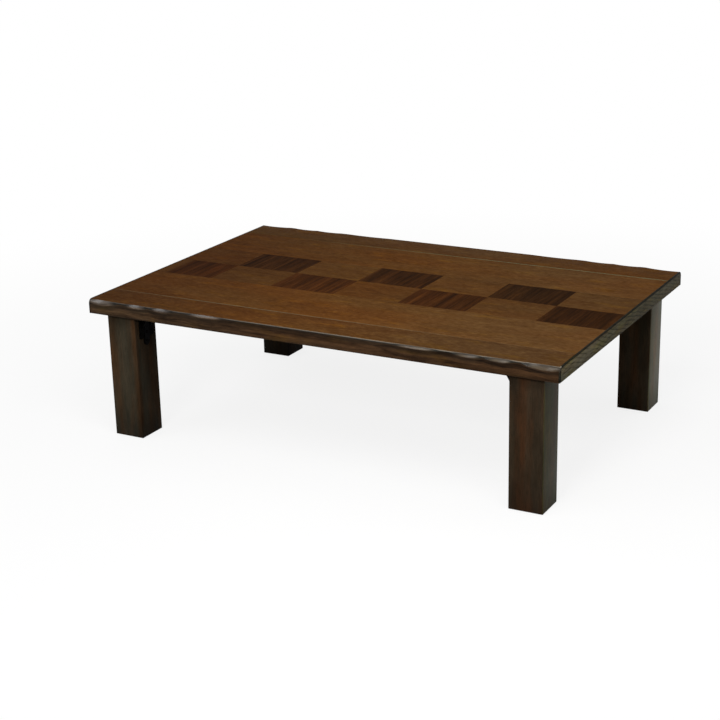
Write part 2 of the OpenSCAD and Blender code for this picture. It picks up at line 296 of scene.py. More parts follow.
darkLook = dict(
    topLook,
    grain="Y",
    dark=(0.011, 0.0042, 0.0013),
    mid=(0.039, 0.0146, 0.0040),
    light=(0.080, 0.0308, 0.0082),
    warm=(1.60, 1.25, 1.00),
    warmth=0.25,
    gold=(1.12, 1.04, 0.95),
    rightEndToneAndLight=(0.64, 0.71, 0.78),
    mottle=(9.0, 60.0, 60.0),
    mottleWeight=0.35,
    figure=(0.9, 20.0, 20.0),
    figureTurns=3.0,
    figureWeight=0.20,
    band=(0.8, 42.0, 42.0),
    bandWeight=0.42,
    streak=(2.5, 130.0, 130.0),
    streakWeight=0.56,
    dash=(10.0, 420.0, 420.0),
    dashWeight=0.45,
    squares={"turn": -0.030, "chance": 0.13, "warmRow": 0.42, "fade": 0.12},
)
frontDarkLook = dict(darkLook, strip=-0.567)
boardLook = dict(
    topLook,
    shift=(4.1, 2.7, 1.0),
    mid=(0.092, 0.0405, 0.0125),
    rightEndToneAndLight=(0.83, 0.93, 1.15),
    grooved=True,
)
backBoardLook = dict(
    boardLook,
    shift=(1.4, 8.8, 5.0),
    dark=(0.050, 0.0190, 0.0042),
    mid=(0.092, 0.0430, 0.0140),
    light=(0.140, 0.0730, 0.0250),
    leftEndToneAndLight=(0.80, 0.80, 0.78),
    rightEndToneAndLight=(1.00, 0.88, 0.72),
)
edgeLook = dict(
    topLook,
    shift=(2.2, 6.3, 0.4),
    dark=(0.009, 0.0045, 0.0025),
    mid=(0.051, 0.0270, 0.0136),
    light=(0.086, 0.0465, 0.0230),
    warm=(1.22, 0.98, 0.78),
    warmth=0.35,
    warmPatches=(3.0, 30.0, 30.0),
    leftEndToneAndLight=(1.15, 1.28, 1.36),
    rightEndToneAndLight=(0.92, 0.88, 0.82),
    figure=(2.4, 34.0, 34.0),
    figureTurns=6.0,
    figureWeight=0.62,
    bandWeight=0.2,
    streak=(4.0, 150.0, 150.0),
    streakWeight=0.62,
    mottleWeight=0.2,
    dash=(34.0, 230.0, 230.0),
    dashWeight=0.47,
    specular=0.03,
    carved="face",
)
carvedLook = dict(
    edgeLook,
    dark=(0.020, 0.0130, 0.0090),
    mid=(0.070, 0.0460, 0.0310),
    light=(0.130, 0.0880, 0.0600),
    warm=(1.25, 1.00, 0.80),
    leftEndToneAndLight=(0.90, 0.98, 1.00),
    rightEndToneAndLight=(0.86, 0.97, 0.92),
    figureWeight=0.60,
    roughness=(0.22, 0.30),
    coatRoughness=0.14,
    carved="facet",
)
endLook = dict(
    topLook,
    grain="Y",
    shift=(0.7, 0.2, 3.1),
    dark=(0.019, 0.0165, 0.0078),
    mid=(0.097, 0.0830, 0.0425),
    light=(0.138, 0.1210, 0.0660),
    warm=(1.15, 0.92, 0.78),
    warmPatches=(9.0, 40.0, 40.0),
    leftEndToneAndLight=(1.10, 0.90, 1.0),
    rightEndToneAndLight=(1.0, 1.0, 1.0),
    figure=(5.0, 30.0, 30.0),
    figureTurns=3.0,
    figureWeight=0.20,
    streak=(7.0, 240.0, 240.0),
    streakWeight=0.4,
    dash=(34.0, 230.0, 230.0),
    dashWeight=0.47,
    specular=0.006,
    part="lipping",
)
legLook = dict(
    topLook,
    grain="Z",
    shift=(0.0, 0.0, 0.0),
    dark=(0.014, 0.0105, 0.0062),
    mid=(0.036, 0.0290, 0.0190),
    light=(0.062, 0.0450, 0.0280),
    warm=(1.52, 0.88, 0.58),
    warmth=0.75,
    warmPatches=(4.5, 36.0, 36.0),
    gold=(1.08, 0.98, 0.90),
    leftEndToneAndLight=(1.28, 1.33, 1.35),
    rightEndToneAndLight=(1.00, 0.87, 0.82),
    figure=(1.0, 16.0, 16.0),
    figureTurns=3.0,
    figureWeight=0.15,
    band=(1.2, 20.0, 20.0),
    bandWeight=0.30,
    streak=(4.0, 70.0, 70.0),
    streakWeight=0.22,
    mottle=(10.0, 32.0, 32.0),
    mottleWeight=0.55,
    dash=(12.0, 380.0, 380.0),
    dashWeight=0.15,
    specular=0.003,
    coatRoughness=0.18,
    part="leg",
)
underLook = dict(
    topLook,
    shift=(1.0, 9.0, 2.0),
    dark=(0.120, 0.0720, 0.0380),
    mid=(0.200, 0.1280, 0.0720),
    light=(0.280, 0.1900, 0.1120),
    warm=(1.10, 1.00, 0.85),
    roughness=(0.55, 0.70),
    bump=0.2,
    specular=0.2,
)
coreLook = dict(
    underLook,
    dark=(0.330, 0.2150, 0.1150),
    mid=(0.520, 0.3700, 0.2150),
    light=(0.640, 0.4900, 0.3100),
    warm=(1.05, 0.97, 0.85),
)

# What all woods share
fibre = {
    "drift": (1.6, 7.0, 7.0),            # the slow wander of the grain
    "driftReach": (0.0, 14 * mm, 14 * mm),
    "growthLine": [(0.0, 0.10), (0.14, 0.35), (0.55, 0.70), (0.86, 0.85), (1.0, 0.10)],
    "poreEdge": [(0.36, 1.0), (0.47, 0.0)],
    "warmEdge": [(0.42, 0.0), (0.66, 1.0)],
    "warmShift": (3.0, 8.0, 1.0),
    "goldPatches": (11.0, 38.0, 38.0),
    "goldEdge": [(0.55, 0.0), (0.70, 1.0)],
    "goldShift": (6.0, 2.0, 4.0),
    "leftEndToneAndLight": [(0.0, 1.0), (0.45, 0.0)],      # how far each end's shift reaches along the table
    "rightEndToneAndLight": [(0.45, 0.0), (0.90, 1.0)],
    "swirlPinch": 0.75,
    "swirlHeart": 9.0,                   # how much tighter the dark heart of a swirl is than its pinch
    "relief": 0.4 * mm,
    "dashRelief": 0.6,
    "poreRelief": 0.6,
    "poreRoughness": 0.12,
}


def bendRound(bench, here, swirl):
    # pinches the pattern towards the middle of a swirl, and gives the mask of its dark heart
    middle, reach, darkness = swirl
    away = here.vector("SUBTRACT", middle)
    far = away.vector("MULTIPLY", (1 / reach[0], 1 / reach[1], 0.0)).span()
    near = (0.0 - far * far).maths("EXPONENT")
    push = away.vector("MULTIPLY", (0.0, -fibre["swirlPinch"], 0.0)).scaled(near)
    heart = (0.0 - far * far * fibre["swirlHeart"]).maths("EXPONENT")
    return here.vector("ADD", push), heart * darkness


def woodPatterns(bench, place, look):
    # every pattern runs from zero to one
    drift = bench.noise(place, fibre["drift"], out="Color").vector("SUBTRACT", (0.5, 0.5, 0.5))
    grain = place.vector("ADD", drift.vector("MULTIPLY", fibre["driftReach"]))
    turns = bench.noise(grain, look["figure"], detail=2.5, roughness=0.45) * look["figureTurns"]
    pore = bench.noise(grain, look["pore"], detail=1, roughness=0.4)
    return {
        "figure": bench.ramp(turns.maths("FRACT"), fibre["growthLine"], "EASE"),
        "band": bench.noise(place, look["band"]),
        "streak": bench.noise(grain, look["streak"], detail=3, roughness=0.6),
        "dash": bench.noise(grain, look["dash"], roughness=0.6),
        "mottle": bench.noise(place, look["mottle"], roughness=0.55),
        "pore": bench.ramp(pore, fibre["poreEdge"]),
    }


def woodTone(patterns, look):
    tone = 0.5 + (patterns["figure"] - 0.5) * look["figureWeight"]
    for name in ("band", "streak", "dash", "mottle"):
        tone = tone + (patterns[name] - 0.5) * (2 * look[name + "Weight"])
    return tone


def toneStops(look):
    return [(0.0, look["dark"]), (0.5, look["mid"]), (1.0, look["light"])]


# The grooves between the top panel and the side boards

grooveLook = {
    "width": 3 * mm,
    "front": (0.150, 0.138, 0.088),      # painted highlight on the broken edge on the far side, where it would catch the light
    "back": (0.150, 0.165, 0.095),
    "frontGlint": [(0.0, 0.25), (0.25, 0.65), (0.55, 0.50), (0.80, 0.12)],   # how strongly, along the table
    "backGlint": [(0.15, 0.0), (0.35, 0.5), (0.6, 0.9), (1.0, 1.0)],
}


# paints a highlight on the flank of each groove that faces the front, stronger along parts of the table
def paintedGrooveHighlight(bench, x, y, colour):
    halfFlank = grooveLook["width"] / 4
    for row, middle in (("front", -grooveMiddle), ("back", grooveMiddle)):
        within = y.maths("COMPARE", middle + halfFlank, halfFlank + hair)
        glint = within * bench.along(x, grooveLook[row + "Glint"])
        colour = bench.mix(glint, colour, grooveLook[row])
    return colour


# The inlaid squares

squareLayout = {
    "pitch": 173 * mm,      # length of a square along the table
    "sheets": 9.0,          # how far apart the squares lie in the endless pattern
    "stripBlur": 20 * mm,
    "stripEdge": [(0.2, 1.0), (0.8, 0.0)],
    "stripContrast": 0.4,
}


def cutSquares(bench, x, y, place, look):
    # each square is cut from another sheet: its own place in the pattern and its own tone. The tone shifts
    # by turn from square to square, by chance at random and by fade towards the back; warmRow warms the
    # front row.
    column = (x / squareLayout["pitch"] + 0.5).maths("FLOOR")
    row = y.maths("SIGN")
    key = bench.add("ShaderNodeCombineXYZ", None, {0: column, 1: row})
    chance = bench.add("ShaderNodeTexWhiteNoise", {"noise_dimensions": "3D"}, {"Vector": key}).socket.node
    sheet = Wire(bench, chance.outputs["Color"]).scaled(squareLayout["sheets"])
    tone = column * look["turn"] + (Wire(bench, chance.outputs["Value"]) - 0.5) * look["chance"]
    tone = tone - (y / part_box("dark_squares_back")[1].y) * look["fade"]
    return place.vector("ADD", sheet), tone, (0.5 - row * 0.5) * look["warmRow"]


def stripColour(bench, x, mottle, colour, end):
    # the field's own wood before the first dark square
    field = bench.ramp(0.5 + (mottle - 0.5) * squareLayout["stripContrast"], toneStops(topLook))
    field = field.vector("MULTIPLY", topLook["leftEndToneAndLight"])
    start = bench.ramp((x - end) / squareLayout["stripBlur"] + 0.5, squareLayout["stripEdge"])
    return bench.mix(start, colour, field)


# The carved edge. Two attributes of its mesh say where a point is: cut is one in the heart of a scallop,
# and rise runs from zero at the foot of the carving to one at its top. Below the foot, rise counts
# centimetres downwards.

# the colours here paint shade and highlights onto the carving; grainDip is the grain's own dip
carvedGrainAndPaintedLight = {
    "plain": (0.24, 0.29, 0.34),         # painted shade on the polished arris between the scallops
    "plainEdge": [(0.35, 1.0), (0.95, 0.0)],
    "upperReflectionTint": (0.72, 0.80, 0.95),         # painted cool shade on the upper part of a scallop, standing in for its bluish reflection
    "upperReflectionTintEdge": [(0.40, 0.0), (0.75, 1.0)],
    "arrisHighlight": (0.195, 0.165, 0.125),     # painted highlight along the top of the carving
    "arrisHighlightEdge": [(0.11, 1.0), (0.27, 0.0)],                               # in centimetres from the top
    "arrisHighlightAlong": [(0.0, 0.30), (0.45, 0.65), (0.75, 1.0), (1.0, 1.0)],
    "slopeLength": 0.62,                 # centimetres up the plain chamfer; a scallop's heart has twice that
    "foot": (0.44, 0.50, 0.58),          # painted shade in the band just below the carving, and along the underside
    "footReach": 4.0,                    # centimetres that footEdge covers
    "footEdge": [(0.0, 0.85), (0.05, 1.0), (0.13, 0.8), (0.28, 0.0)],
    "underReach": 20 * mm,
    "underEdge": [(0.0, 0.7), (0.4, 0.0)],
    "grainDip": 2.5 * mm,                # how far the growth lines dip under a scallop
}
carvedPolish = {
    "least": 0.08,
    "heart": [(0.45, 0.0), (0.95, 1.0)],
    "shoulder": [(0.20, 0.1), (0.50, 1.0), (0.80, 1.0), (1.0, 0.3)],
    "along": [(0.0, 0.54), (0.3, 0.38), (1.0, 0.34)],
}


def dipUnderScallops(bench, place):
    dip = bench.add("ShaderNodeCombineXYZ", None, {2: bench.attribute("cut") * carvedGrainAndPaintedLight["grainDip"]})
    return place.vector("ADD", dip)


# paints cool shade on the upper part of each scallop, shade on the plain arris between them and a highlight
# along the top of the carving
def facetColour(bench, x, colour):
    cut = bench.attribute("cut")
    rise = bench.attribute("rise")
    colour = bench.tint(bench.ramp(rise, carvedGrainAndPaintedLight["upperReflectionTintEdge"]), colour, carvedGrainAndPaintedLight["upperReflectionTint"])
    colour = bench.tint(bench.ramp(cut, carvedGrainAndPaintedLight["plainEdge"], "EASE"), colour, carvedGrainAndPaintedLight["plain"])
    fromTop = (1 - rise) * (carvedGrainAndPaintedLight["slopeLength"] * (1 + cut))
    arrisHighlight = bench.ramp(fromTop, carvedGrainAndPaintedLight["arrisHighlightEdge"]) * bench.along(x, carvedGrainAndPaintedLight["arrisHighlightAlong"])
    return bench.mix(arrisHighlight, colour, carvedGrainAndPaintedLight["arrisHighlight"])


def faceColour(bench, z, colour):
    # the upright face below the carving, with painted shade just below the carving and along the underside
    below = bench.attribute("rise") / -carvedGrainAndPaintedLight["footReach"]
    colour = bench.tint(bench.ramp(below, carvedGrainAndPaintedLight["footEdge"]), colour, carvedGrainAndPaintedLight["foot"])
    above = (z - boardLow) / carvedGrainAndPaintedLight["underReach"]
    return bench.tint(bench.ramp(above, carvedGrainAndPaintedLight["underEdge"]), colour, carvedGrainAndPaintedLight["foot"])


def facetPolish(bench, x):
    heart = bench.ramp(bench.attribute("cut"), carvedPolish["heart"], "EASE")
    shoulder = bench.ramp(bench.attribute("rise"), carvedPolish["shoulder"])
    return carvedPolish["least"] + heart * shoulder * bench.along(x, carvedPolish["along"])


# The end lippings: growth rings that run down at a slant, and painted shade along their edges

ringLook = {
    "pitch": 10 * mm,                    # from one growth ring to the next
    "fall": 0.31,                        # slope of the rings
    "wander": 1.7,                       # how many rings a line wanders
    "wanderRepeats": (9.0, 9.0, 30.0),
    "line": [(0.0, 1.0), (0.16, 0.25), (0.40, 0.0), (0.80, 0.0), (1.0, 1.0)],
    "breakRepeats": (30.0, 16.0, 60.0),  # where the lines fade out
    "breakEdge": [(0.36, 0.30), (0.56, 1.0)],
    "breakAcross": [(0.0, 0.55), (0.6, 1.0)],
    "tint": (0.13, 0.14, 0.16),
    "front": (1.68, 1.82, 2.40),         # paler and greyer towards the front
    "frontAcross": [(0.10, 1.0), (0.65, 0.0)],
    "arris": (0.11, 0.12, 0.13),         # painted shade along the edges
    "arrisUp": [(0.0, 0.8), (0.05, 0.0), (0.86, 0.0), (0.92, 1.0)],    # from the underside to the top
    "arrisOut": [(0.982, 0.0), (0.990, 1.0)],                          # from the middle to both corners
}


def ringedColour(bench, here, y, z, colour):
    wander = bench.noise(here, ringLook["wanderRepeats"])
    phase = (z + y * ringLook["fall"]) / ringLook["pitch"] + wander * ringLook["wander"]
    line = bench.ramp(phase.maths("FRACT"), ringLook["line"])
    broken = bench.ramp(bench.noise(here, ringLook["breakRepeats"]), ringLook["breakEdge"])
    broken = broken * bench.across(y, ringLook["breakAcross"])
    colour = bench.tint(line * broken, colour, ringLook["tint"])
    colour = bench.tint(bench.across(y, ringLook["frontAcross"]), colour, ringLook["front"])
    # painted shade along the underside, the top and both corners
    up = bench.ramp((z - boardLow) / (topHeight - boardLow), ringLook["arrisUp"])
    out = bench.ramp(y.maths("ABSOLUTE") / halfWidth, ringLook["arrisOut"])
    return bench.tint(up.maths("MAXIMUM", out), colour, ringLook["arris"])


# The legs

# painted sheen, light and shade on the legs' wood, and their polish
legPaintedLightAndPolish = {
    "faceReach": 1.5 * mm,               # how near a leg's face a point is to count as on it
    "outer": (1.30, 1.74, 0.96),         # painted sheen on the outer end faces at the right end of the table
    "outerBackSheen": (1.42, 1.31, 1.43),     # and how much paler the painted sheen on the back leg is
    "backLeftShade": (0.60, 0.62, 0.68),      # painted shade on the back left leg, which stands under the table
    "backRightLight": (1.30, 1.45, 1.50),     # painted light on the back right leg, lifting the shade it stands in
    "inner": (0.66, 0.68, 0.72),         # painted shade on the faces towards the table's middle
    "foot": (0.72, 0.76, 0.84),          # the lower ends
    "footHeight": 80 * mm,
    "footEdge": [(0.0, 1.0), (1.0, 0.0)],
    "polish": (0.18, 0.13),              # of the outer end faces, and how much more the back ones have
    "polishHeight": 300 * mm,
    "polishEdge": [(0.0, 0.3), (0.25, 0.8), (1.0, 1.0)],
}
legOuter, legInner = (-end.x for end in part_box("leg_front_left"))
outerFace = legOuter - legPaintedLightAndPolish["faceReach"]
innerFace = legInner + legPaintedLightAndPolish["faceReach"]


# paints sheen on the outer faces at the right end, light on the back right leg and shade on the back left
# leg and the inner faces; darker towards the lower ends
def legColour(bench, x, y, z, colour):
    # the outer faces at the right end carry a painted sheen
    outer = x.maths("GREATER_THAN", outerFace)
    back = y.maths("GREATER_THAN", 0.0)
    colour = bench.tint(outer, colour, legPaintedLightAndPolish["outer"])
    colour = bench.tint(outer * back, colour, legPaintedLightAndPolish["outerBackSheen"])
    colour = bench.tint(back * x.maths("LESS_THAN", 0.0), colour, legPaintedLightAndPolish["backLeftShade"])
    colour = bench.tint(back * x.maths("GREATER_THAN", 0.0), colour, legPaintedLightAndPolish["backRightLight"])
    colour = bench.tint(x.maths("ABSOLUTE").maths("LESS_THAN", innerFace), colour, legPaintedLightAndPolish["inner"])
    foot = bench.ramp(z / legPaintedLightAndPolish["footHeight"], legPaintedLightAndPolish["footEdge"])
    return bench.tint(foot, colour, legPaintedLightAndPolish["foot"])


def legPolish(bench, x, y, z):
    up = bench.ramp(z / legPaintedLightAndPolish["polishHeight"], legPaintedLightAndPolish["polishEdge"])
    outer = x.maths("ABSOLUTE").maths("GREATER_THAN", outerFace)
    front, more = legPaintedLightAndPolish["polish"]
    return outer * up * (front + more * y.maths("GREATER_THAN", 0.0))


# Every wood is made here

def woodMaterial(name, look):
    material, bench = newMaterial(name)
    here = bench.add("ShaderNodeTexCoord", out="Object")
    x, y, z = bench.parts(here)
    place = here
    hearts = 0.0
    for swirl in look["swirls"]:
        place, heart = bendRound(bench, place, swirl)
        hearts = heart + hearts
    if look["carved"]:
        place = dipUnderScallops(bench, place)
    place = bench.placed(place, turn=grainTurns[look["grain"]], shift=look["shift"])
    squareTone = squareWarmth = 0.0
    if look["squares"]:
        place, squareTone, squareWarmth = cutSquares(bench, x, y, place, look["squares"])
    patterns = woodPatterns(bench, place, look)
    tone = woodTone(patterns, look) + squareTone
    colour = bench.ramp(tone, toneStops(look))
    warm = bench.ramp(bench.noise(place, look["warmPatches"], shift=fibre["warmShift"]), fibre["warmEdge"])
    warm = warm * look["warmth"] + squareWarmth
    colour = bench.tint(warm.maths("MINIMUM", 1.0), colour, look["warm"])
    gold = bench.noise(place, fibre["goldPatches"], detail=3, roughness=0.6, shift=fibre["goldShift"])
    colour = bench.tint(bench.ramp(gold, fibre["goldEdge"]), colour, look["gold"])
    # each end of the table shifts the colour: partly the wood's own tone, partly painted light and shade
    # where the light falls unevenly along the table
    for end in ("leftEndToneAndLight", "rightEndToneAndLight"):
        colour = bench.tint(bench.along(x, fibre[end], "EASE"), colour, look[end])
    if look["strip"]:
        colour = stripColour(bench, x, patterns["mottle"], colour, look["strip"])
    if look["carved"] == "facet":
        colour = facetColour(bench, x, colour)
    if look["carved"] == "face":
        colour = faceColour(bench, z, colour)
    if look["grooved"]:
        colour = paintedGrooveHighlight(bench, x, y, colour)
    if look["part"] == "lipping":
        colour = ringedColour(bench, here, y, z, colour)
    if look["part"] == "leg":
        colour = legColour(bench, x, y, z, colour)
    colour = bench.mix(patterns["pore"] * look["poreWeight"], colour, look["dark"])
    if look["swirls"]:
        colour = bench.mix(hearts, colour, look["dark"])
    smooth, rough = look["roughness"]
    roughness = smooth + (rough - smooth) * patterns["streak"]
    height = (patterns["dash"] - 0.5) * fibre["dashRelief"] - patterns["pore"] * fibre["poreRelief"]
    relief = {"Strength": look["bump"], "Distance": fibre["relief"], "Height": height}
    values = {
        "Base Color": colour,
        "Roughness": roughness + patterns["pore"] * fibre["poreRoughness"],
        "Specular IOR Level": look["specular"],
        "Normal": bench.add("ShaderNodeBump", None, relief),
    }
    if look["coatRoughness"]:
        values["Coat Roughness"] = look["coatRoughness"]
        leg = look["part"] == "leg"
        values["Coat Weight"] = legPolish(bench, x, y, z) if leg else facetPolish(bench, x)
    bench.finish(bench.add("ShaderNodeBsdfPrincipled", None, values))
    return material


# Metal and plastic

blackLook = {
    "base": (0.0022, 0.0020, 0.0016),
    "worn": (0.007, 0.006, 0.005),
    "roughness": (0.32, 0.50),
    "specular": 0.004,
    "grain": (900.0, 900.0, 900.0),    # repeats per metre of the finest speckle
    "bump": 0.12,
}
springLook = {
    "base": (0.003, 0.003, 0.003),
    "worn": (0.008, 0.008, 0.009),
    "roughness": (0.30, 0.45),
    "specular": 0.006,
    "grain": (1600.0, 1600.0, 60.0),
    "bump": 0.08,
}
glideLook = {
    "base": (0.016, 0.012, 0.009),
    "worn": (0.045, 0.036, 0.030),
    "roughness": (0.45, 0.65),
    "specular": 0.06,
    "grain": (700.0, 700.0, 700.0),
    "bump": 0.15,
}
# What all three share
coating = {
    "smudge": (28.0, 28.0, 28.0),
    "smudgeShare": 0.6,     # of the wear; the rest comes from the speckle
    "wear": [(0.46, 0.0), (0.66, 1.0)],
    "wornShare": 0.6,       # how far the most worn places take the worn colour
    "relief": 0.2 * mm,
}


def plainMaterial(name, look):
    material, bench = newMaterial(name)
    here = bench.add("ShaderNodeTexCoord", out="Object")
    speckle = bench.noise(here, look["grain"], detail=3, roughness=0.55)
    smudge = bench.noise(here, coating["smudge"], detail=4, roughness=0.6)
    share = coating["smudgeShare"]
    wear = bench.ramp(smudge * share + speckle * (1 - share), coating["wear"]) * coating["wornShare"]
    smooth, rough = look["roughness"]
    relief = {"Strength": look["bump"], "Distance": coating["relief"], "Height": speckle}
    bench.finish(bench.add("ShaderNodeBsdfPrincipled", None, {
        "Base Color": bench.mix(wear, look["base"], look["worn"]),
        "Roughness": smooth + (rough - smooth) * smudge,
        "Specular IOR Level": look["specular"],
        "Normal": bench.add("ShaderNodeBump", None, relief),
    }))
    return material


# Mesh helpers

def newPiece(name, bm, body, materials, node):
    mesh = bpy.data.meshes.new(name)
    bm.to_mesh(mesh)
    bm.free()
    piece = bpy.data.objects.new(name, mesh)
    bpy.context.scene.collection.objects.link(piece)
    for material in materials:
        mesh.materials.append(material)
    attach(piece, body)
    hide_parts(node)
    return piece


def addBox(bm, low, high):
    made = bmesh.ops.create_cube(bm, size=1)["verts"]
    bmesh.ops.scale(bm, vec=high - low, verts=made)
    bmesh.ops.translate(bm, vec=(high + low) / 2, verts=made)


def addNodeMesh(bm, node, merge, flat):
    # a copy of a node's mesh, with its points merged and its flat faces made whole
    bm.from_mesh(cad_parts[node].data)
    bmesh.ops.remove_doubles(bm, verts=bm.verts, dist=merge)
    bmesh.ops.dissolve_limit(bm, angle_limit=math.radians(flat), verts=bm.verts, edges=bm.edges)


def bevelEdges(bm, edges, offset, segments):
    bmesh.ops.bevel(bm, geom=edges, offset=offset, offset_type="OFFSET", segments=segments,
                    profile=0.5, affect="EDGES", clamp_overlap=True, material=-1)


def edgesWhere(bm, test):
    return [edge for edge in bm.edges if all(test(v.co) for v in edge.verts)]


def extent(edge, axis):
    return abs(edge.verts[0].co[axis] - edge.verts[1].co[axis])


def shadeByAngle(bm, angle):
    for face in bm.faces:
        face.smooth = True
    for edge in bm.edges:
        edge.smooth = len(edge.link_faces) == 2 and edge.calc_face_angle(0) < math.radians(angle)


def softEdges(piece, width, angle):
    bevel = piece.modifiers.new("soft edges", "BEVEL")
    bevel.width = width
    bevel.segments = 2
    bevel.limit_method = "ANGLE"
    bevel.angle_limit = math.radians(angle)


# Side boards and lippings with the carved edge

carving = {
    "angle": math.radians(53),                           # steepness of the chamfer
    "plain": 3.0 * mm,                                   # depth of the plain chamfer, square to its face
    "places": (33 * mm, 137 * mm, 209 * mm, 330 * mm),   # middle of each scallop from the table's end
    "depths": (8.6 * mm, 6.4 * mm, 6.0 * mm, 4.8 * mm),
    "halves": (54 * mm, 36 * mm, 38 * mm, 60 * mm),      # half length of each scallop
    "crest": 0.25 * mm,                                  # softness of the crests between scallops
    "swell": 0.3 * mm,                                   # how far the face of a scallop swells
    "round": 1.4 * mm,                                   # how far the plain stretches swell
    "endRound": 1.3 * mm,                                # how much further it swells at the table's ends
    "endReach": 28 * mm,                                 # and over what length
    "unit": 4 * mm,                                      # offset of the bevel that is drawn to the depth
    "steps": 300,                                        # cuts along the board
    "rows": 6,                                           # faces across the chamfer
    "lowest": 10 * mm,                                   # how far above the underside it can begin
    "slope": (0.2, 0.98),                                # height of the normals that count as carving
}
# In these and the shapes below, smooth is the angle in degrees up to which faces are shaded as one, sharp
# the angle from which edges are broken, and faces how many faces a broken edge gets.
boardShape = {"arris": 0.5 * mm, "sharp": 30, "smooth": 24}
lippingShape = {
    "arris": 0.8 * mm,
    "faces": 2,
    "smooth": 50,
    "flat": 1,         # faces that differ by less than this many degrees become one
    "outward": 0.3,    # how far the normals of the carving lean to the front or the back
}


def carvedDepth(x):
    # the depth of the carving, and how near it is to the heart of a scallop, from zero to one
    depth = carving["plain"]
    heart = 0.0
    for place, deep, half in zip(carving["places"], carving["depths"], carving["halves"]):
        extra = deep - carving["plain"]
        radius = (half * half + extra * extra) / (2 * extra)
        away = abs(abs(x) - (halfLength - place))
        if away < radius:
            cut = deep - radius + math.sqrt(radius * radius - away * away)
            meet = max(carving["crest"] - abs(depth - cut), 0) / carving["crest"]
            depth = max(depth, cut) + meet * meet * carving["crest"] / 4
            heart = max(heart, (cut - carving["plain"]) / extra)
    return depth, heart


def carveEdge(bm, side):
    # draws the bevelled long edge on one side of the table to the depth of the carving
    up = math.cos(carving["angle"])
    out = math.sin(carving["angle"])
    unit = carving["unit"]
    for v in bm.verts:
        fromEdge = abs(v.co.y - side * halfWidth)
        fromTop = topHeight - v.co.z
        if fromEdge < unit + hair and fromTop < unit + hair:
            depth, cut = carvedDepth(v.co.x)
            nearEnd = max(1 - (halfLength - abs(v.co.x)) / carving["endReach"], 0)
            # share is zero at the foot of the chamfer and one at its top
            share = (fromEdge - fromTop + unit) / (2 * unit)
            swell = carving["swell"] * cut + carving["round"] * (1 - cut) + carving["endRound"] * nearEnd
            swell = swell * math.sin(math.pi * share)
            v.co.z = topHeight - depth / up * (1 - share) + swell * up
            v.co.y = side * (halfWidth - depth / out * share + swell * out)


def noteCarving(bm):
    # tells the materials how near each point is to the heart of a scallop and how high on the carving
    cutLayer = bm.verts.layers.float.new("cut")
    riseLayer = bm.verts.layers.float.new("rise")
    for v in bm.verts:
        depth, cut = carvedDepth(v.co.x)
        height = depth / math.cos(carving["angle"])
        aboveFoot = v.co.z - topHeight + height
        v[cutLayer] = cut
        v[riseLayer] = aboveFoot / height if aboveFoot > 0 else aboveFoot / (10 * mm)


def makeSideBoard(row, side, topWood, carvedWood, edgeWood):
    node = "side_board_" + row
    low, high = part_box(node)
    outer, inner = (low.y, high.y) if side < 0 else (high.y, low.y)
    bm = bmesh.new()
    addBox(bm, low, high)
    outerEdge = edgesWhere(bm, lambda co: high.z - co.z < hair and abs(co.y - outer) < hair)
    bevelEdges(bm, outerEdge, carving["unit"], carving["rows"])
    innerEdge = edgesWhere(bm, lambda co: high.z - co.z < hair and abs(co.y - inner) < hair)
    bevelEdges(bm, innerEdge, grooveLook["width"] / 2, 1)
    lengthwise = [edge for edge in bm.edges if extent(edge, 0) > carving["unit"]]
    bmesh.ops.subdivide_edges(bm, edges=lengthwise, cuts=carving["steps"], use_grid_fill=True)
    carveEdge(bm, side)
    noteCarving(bm)
    shadeByAngle(bm, boardShape["smooth"])
    steep, level = carving["slope"]
    for face in bm.faces:
        middle = face.calc_center_median()
        onTop = face.normal.z > steep and middle.z > low.z + carving["lowest"]
        if onTop and face.normal.z < level and abs(middle.y - inner) > grooveLook["width"]:
            face.material_index = 1
        elif not onTop:
            face.material_index = 2
    piece = newPiece("carved_" + node, bm, "table_top", [topWood, carvedWood, edgeWood], node)
    softEdges(piece, boardShape["arris"], boardShape["sharp"])


def makeLipping(end, endWood, carvedWood):
    # the carving and the two grooves run out over the lipping
    node = "end_lipping_" + end
    low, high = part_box(node)
    outside = low.x if end == "left" else high.x
    flank = grooveLook["width"] / 2
    bm = bmesh.new()
    addBox(bm, low, high)
    for middle in (-grooveMiddle, grooveMiddle):
        for y in (middle - flank, middle, middle + flank):
            whole = bm.verts[:] + bm.edges[:] + bm.faces[:]
            bmesh.ops.bisect_plane(bm, geom=whole, plane_co=(0, y, 0), plane_no=(0, 1, 0))
    for v in bm.verts:
        if high.z - v.co.z < hair and abs(abs(v.co.y) - grooveMiddle) < hair:
            v.co.z -= flank
    flat = math.radians(lippingShape["flat"])
    bmesh.ops.dissolve_limit(bm, angle_limit=flat, verts=bm.verts, edges=bm.edges)
    topCorners = edgesWhere(bm, lambda co: high.z - co.z < hair and high.y - abs(co.y) < hair)
    through = [edge for edge in topCorners if extent(edge, 0) > hair]
    bevelEdges(bm, through, carving["unit"], carving["rows"])
    carveEdge(bm, -1)
    carveEdge(bm, 1)
    rim = edgesWhere(bm, lambda co: abs(co.x - outside) < hair and abs(abs(co.y) - grooveMiddle) > hair)
    bevelEdges(bm, rim, lippingShape["arris"], lippingShape["faces"])
    noteCarving(bm)
    shadeByAngle(bm, lippingShape["smooth"])
    steep, level = carving["slope"]
    for face in bm.faces:
        if steep < face.normal.z < level and abs(face.normal.y) > lippingShape["outward"]:
            face.material_index = 1
    newPiece("carved_" + node, bm, "table_top", [endWood, carvedWood], node)


# Inlaid squares, each with a hair-fine broken edge

squareShape = {"edge": 0.12 * mm, "merge": 0.01 * mm, "flat": 1}


